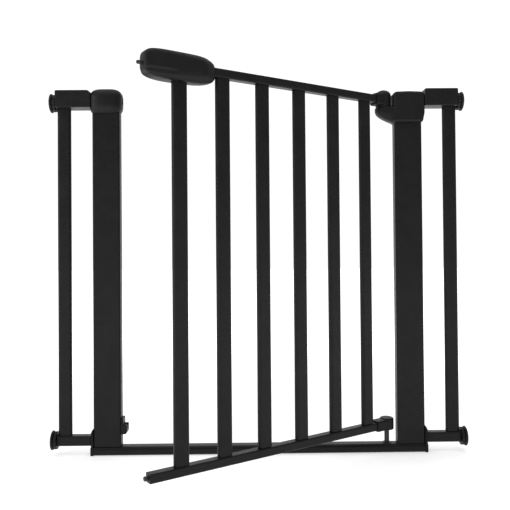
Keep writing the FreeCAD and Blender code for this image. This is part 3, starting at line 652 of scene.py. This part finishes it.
def lower_hinge_cap():
    """The round-ended cap on the bottom rail, open below where the pin comes up."""
    low, high = node_box("lower_hinge_cap", DOOR)
    radius = high.x
    profile = [(0, low.z), (radius - 2, low.z)]
    profile += bend((radius - 2, low.z), (radius, low.z + 2), (radius - 2, low.z + 2), 4)[1:]
    profile += bend((radius, high.z - 3.5), (radius - 3.5, high.z), (radius - 3.5, high.z - 3.5), 6)
    body = lathe("lower_cap", profile + [(0, high.z)], (0, 0, 0), Z)
    sleeve = plate("sleeve", rectangle((-12, low.z), (12, high.z - 2), 4), (0, -low.x), (0, 2.5))
    sleeve.data.transform(QUARTER)
    combine(body, sleeve, "UNION")
    pin = lathe("cutter", [(0, 0), (8.4, 0), (8.4, 2.4), (0, 2.4)], (0, 0, low.z - 0.1), Z)
    combine(body, pin)
    finish(break_edges(body, 0.6, 30), "lower_hinge_cap", DOOR)


def pins():
    """Both hinge pins, the catch pin and the latch bolt with its collar."""
    for node in ("upper_hinge_pin", "lower_hinge_pin"):
        low, high = node_box(node)
        centre, radius = (low + high) / 2, (high.x - low.x) / 2
        profile = soft_cylinder(radius, high.z - low.z, 1.0)
        finish(lathe(f"{node}_rod", profile, (centre.x, centre.y, low.z), Z), node)
    low, high = node_box("catch_pin", DOOR)
    radius = (high.z - low.z) / 2
    profile = soft_cylinder(radius, high.x - low.x, 1.2)
    finish(lathe("catch_rod", profile, (high.x, 0, (low.z + high.z) / 2), -X), "catch_pin", DOOR)
    low, high = node_box("latch_bolt", DOOR)
    collar, length, tip = (high.z - low.z) / 2, high.x - low.x, 2.2
    profile = [(0, 0), (collar, 0), (collar, 4), (BOLT_R, 4)]
    profile += bend((BOLT_R, length - tip), (BOLT_R - tip, length), (BOLT_R - tip, length - tip), 6)
    profile += [(0, length)]
    finish(lathe("bolt", profile, (high.x, 0, (low.z + high.z) / 2), -X), "latch_bolt", DOOR)


def rail_end():
    """The plug that closes the bottom rail at the latch end."""
    low = node_box("rail_end_cap", DOOR)[0]
    rail_low, rail_high = node_box("bottom_rail", DOOR)
    corners = rectangle((rail_low.y, rail_low.z), (rail_high.y, rail_high.z), RAIL_CORNER)
    cap = plate("rail_end", corners, (-rail_low.x - 0.2, -low.x), (0, 0.8))
    cap.data.transform(QUARTER)
    finish(cap, "rail_end_cap", DOOR)


# ---- catch --------------------------------------------------------------------------------
CATCH_PLATE = 4.5
EAR_Z = (44, 47.5, 63)      # where the ears begin, reach full length and end


def lower_catch():
    """A plate on the post with two ears; the catch pin drops between them from above."""
    low, high = node_box("lower_catch")
    post_face = node_box("left_post")[1].x
    face = post_face + CATCH_PLATE
    outline = rectangle((low.y, low.z), (high.y, high.z), 3)
    body = plate("catch", outline, (-face, -post_face), (1.0, 0))
    body.data.transform(QUARTER)
    bottom, full, top = EAR_Z
    side = [(post_face, bottom), (high.x - 3, bottom, 1.3), (high.x, full, 1.3),
            (high.x, top, 2), (post_face, top)]
    combine(body, plate("ears", side, (low.y, high.y), (1.2, 1.2)), "UNION")
    pin_low, pin_high = node_box("catch_pin", DOOR)
    slot, middle = (pin_high.z - pin_low.z) / 2 + 0.6, (pin_low.z + pin_high.z) / 2
    channel = [(-slot, 80), (-slot, middle - slot, slot), (slot, middle - slot, slot), (slot, 80)]
    cutter = plate("cutter", channel, (face, face + 20))
    cutter.data.transform(Matrix.Rotation(-math.pi / 2, 4, "Z"))
    combine(body, cutter)
    finish(break_edges(body, 0.4, 30), "lower_catch")


# ---- handle -------------------------------------------------------------------------------
GRIP_SIDE = ((3.5, 5.2), (3.3, 3.4))        # roundness at the latch end and the hinge end, bottom and top
GRIP_DEPTH = (5.0, 2.5)
GROOVE_DROP = 11.5                          # the finger groove, below the middle
DISH = rectangle((-524, -8.4), (-486, 8.4), 6.5)
DISH_Z = (755.5, 775)


def handle():
    """The pebble grip round the rail's end, with the thumb slide's dish on top."""
    low, high = node_box("handle_front", DOOR)
    rear_high = node_box("handle_rear", DOOR)[1]
    high.y = rear_high.y
    centre, half = (low + high) / 2, (high - low) / 2

    def grip(point):
        """The finger groove under the latch end, with a fuller lip below it, on both faces."""
        fade = max(0.0, min(1.0, (-point.x - 8) / 26))
        height = point.z + GROOVE_DROP
        groove = math.exp(-(height / 2.6) ** 2)
        lip = math.exp(-((height + 6.5) / 3.6) ** 2)
        return Vector((point.x, point.y * (1 - fade * (0.12 * groove - 0.03 * lip)), point.z))

    body = blob("grip", centre, half, GRIP_SIDE, GRIP_DEPTH, grip, 56)
    rail_low, rail_high = node_box("top_rail", DOOR)
    corners = rectangle((rail_low.y - FIT, rail_low.z - FIT),
                        (rail_high.y + FIT, rail_high.z + FIT), RAIL_CORNER)
    mouth = plate("cutter", corners, (-high.x - 20, -high.x + 25))
    mouth.data.transform(QUARTER)
    combine(body, mouth)
    bar_low, bar_high = node_box("door_bar_6", DOOR)
    corners = bar_outline(bar_low, bar_high, BAR_CORNER)
    combine(body, prism("cutter", corners, (bar_high.z - 40, bar_high.z)))
    bolt_low, bolt_high = node_box("latch_bolt", DOOR)
    bolt_z = (bolt_low.z + bolt_high.z) / 2
    bore = [(0, 0), (BOLT_R + FIT, 0), (BOLT_R + FIT, 40), (0, 40)]
    combine(body, lathe("cutter", bore, (bolt_low.x + 25, 0, bolt_z), -X, 32))
    combine(body, prism("cutter", DISH, DISH_Z))
    screw_spaces(body, screw_places("handle_screws", DOOR), half.y)
    front, rear = split(body, ("grip_front", "grip_rear"))
    finish(front, "handle_front", DOOR)
    finish(rear, "handle_rear", DOOR)


def carried_over():
    """The CAD nodes that keep their own mesh get their slot's finish."""
    for node, piece in frame["nodes"].items():
        if piece.hide_render:
            continue
        piece.data.materials.clear()
        piece.data.materials.append(MATERIALS[SLOT_OF[node]])


# ---- stage, light and camera --------------------------------------------------------------
ROOM, SWEEP = 0.32, 1.1                             # brightness in front of and behind the gate
FLOOR_NEAR, FLOOR_FAR, FLOOR_NEAR_GLOW = 0.3, 1.6, 0.45  # the floor's painted glow: its emission grows over this distance, weaker near the gate
FLOOR_REACH = 9000


def stage():
    """A pale floor with a painted glow: its emission is weaker near the gate and runs up to the brightness of the
    sweep behind it.
    """
    reach = FLOOR_REACH
    points = [(x, y, 0) for x, y in ((-reach, -reach), (reach, -reach), (reach, reach), (-reach, reach))]
    floor = new_object("floor", points, [(0, 1, 2, 3)])
    material = bpy.data.materials.new("pale_floor_painted_glow")
    material.use_nodes = True
    nodes, links = material.node_tree.nodes, material.node_tree.links
    shader = nodes["Principled BSDF"]
    shader.inputs["Base Color"].default_value = (0.9, 0.9, 0.9, 1)
    shader.inputs["Roughness"].default_value = 0.9
    shader.inputs["Specular IOR Level"].default_value = 0.1
    place = nodes.new("ShaderNodeTexCoord")
    away = nodes.new("ShaderNodeVectorMath")
    away.operation = "LENGTH"
    glow = nodes.new("ShaderNodeMapRange")
    glow.interpolation_type = "SMOOTHSTEP"
    glow.inputs["From Min"].default_value = FLOOR_NEAR
    glow.inputs["From Max"].default_value = FLOOR_FAR
    glow.inputs["To Min"].default_value = FLOOR_NEAR_GLOW
    glow.inputs["To Max"].default_value = SWEEP
    links.new(place.outputs["Object"], away.inputs[0])
    links.new(away.outputs["Value"], glow.inputs["Value"])
    # Painted glow: the floor emits white light, weaker near the gate and as bright as the sweep farther out.
    shader.inputs["Emission Color"].default_value = (1, 1, 1, 1)
    links.new(glow.outputs["Result"], shader.inputs["Emission Strength"])
    floor.data.materials.append(material)


def softbox(name, place, target, size, power):
    """A rectangular lamp that looks at a point."""
    light = bpy.data.lights.new(name, "AREA")
    light.shape = "RECTANGLE"
    light.size, light.size_y = size
    light.energy = power
    lamp = bpy.data.objects.new(name, light)
    lamp.location = place
    lamp.rotation_euler = (Vector(target) - Vector(place)).to_track_quat("-Z", "Y").to_euler()
    bpy.context.scene.collection.objects.link(lamp)


KEY, TOP = 32, 44           # watts


def lights():
    """A white sweep behind the gate, a dim room in front of it, and soft boxes above and to the left."""
    world = bpy.data.worlds.new("studio")
    bpy.context.scene.world = world
    world.use_nodes = True
    nodes, links = world.node_tree.nodes, world.node_tree.links
    place = nodes.new("ShaderNodeTexCoord")
    axes = nodes.new("ShaderNodeSeparateXYZ")
    blend = nodes.new("ShaderNodeMapRange")
    blend.interpolation_type = "SMOOTHSTEP"
    blend.inputs["From Min"].default_value = 0.15
    blend.inputs["From Max"].default_value = 0.8
    blend.inputs["To Min"].default_value = ROOM
    blend.inputs["To Max"].default_value = SWEEP
    links.new(place.outputs["Generated"], axes.inputs["Vector"])
    links.new(axes.outputs["Y"], blend.inputs["Value"])
    links.new(blend.outputs["Result"], nodes["Background"].inputs["Strength"])
    nodes["Background"].inputs["Color"].default_value = (1, 1, 1, 1)
    middle = (cad_box[0] + cad_box[1]) / 2
    softbox("key", (-2.9, -1.6, 1.3), middle, (1.4, 2.2), KEY)
    softbox("top", (0.0, -0.6, 3.2), middle, (4.0, 3.0), TOP)


CAMERA_PLACE = Vector((-21.1, -1329.8, 439.0)) * MM
CAMERA_YAW, CAMERA_PITCH, CAMERA_ROLL = -0.646, 0.764, -0.454     # degrees
CAMERA_LENS, CAMERA_SHIFT = 44.75, (-0.0003, -0.0419)


def camera():
    data = bpy.data.cameras.new("camera")
    data.lens = CAMERA_LENS
    data.sensor_width = 36
    data.shift_x, data.shift_y = CAMERA_SHIFT
    eye = bpy.data.objects.new("camera", data)
    bpy.context.scene.collection.objects.link(eye)
    eye.matrix_world = (Matrix.Translation(CAMERA_PLACE)
                        @ Matrix.Rotation(math.radians(CAMERA_YAW), 4, "Z")
                        @ Matrix.Rotation(math.radians(90 + CAMERA_PITCH), 4, "X")
                        @ Matrix.Rotation(math.radians(CAMERA_ROLL), 4, "Z"))
    bpy.context.scene.camera = eye
    bpy.context.scene.view_settings.view_transform = "Standard"


frame_tubes()
door_tubes()
latch_housing()
hinge_housing()
extension_blocks()
corner_caps()
adjusters()
upper_knuckle()
lower_hinge_cap()
pins()
rail_end()
lower_catch()
handle()
carried_over()
stage()
lights()
camera()
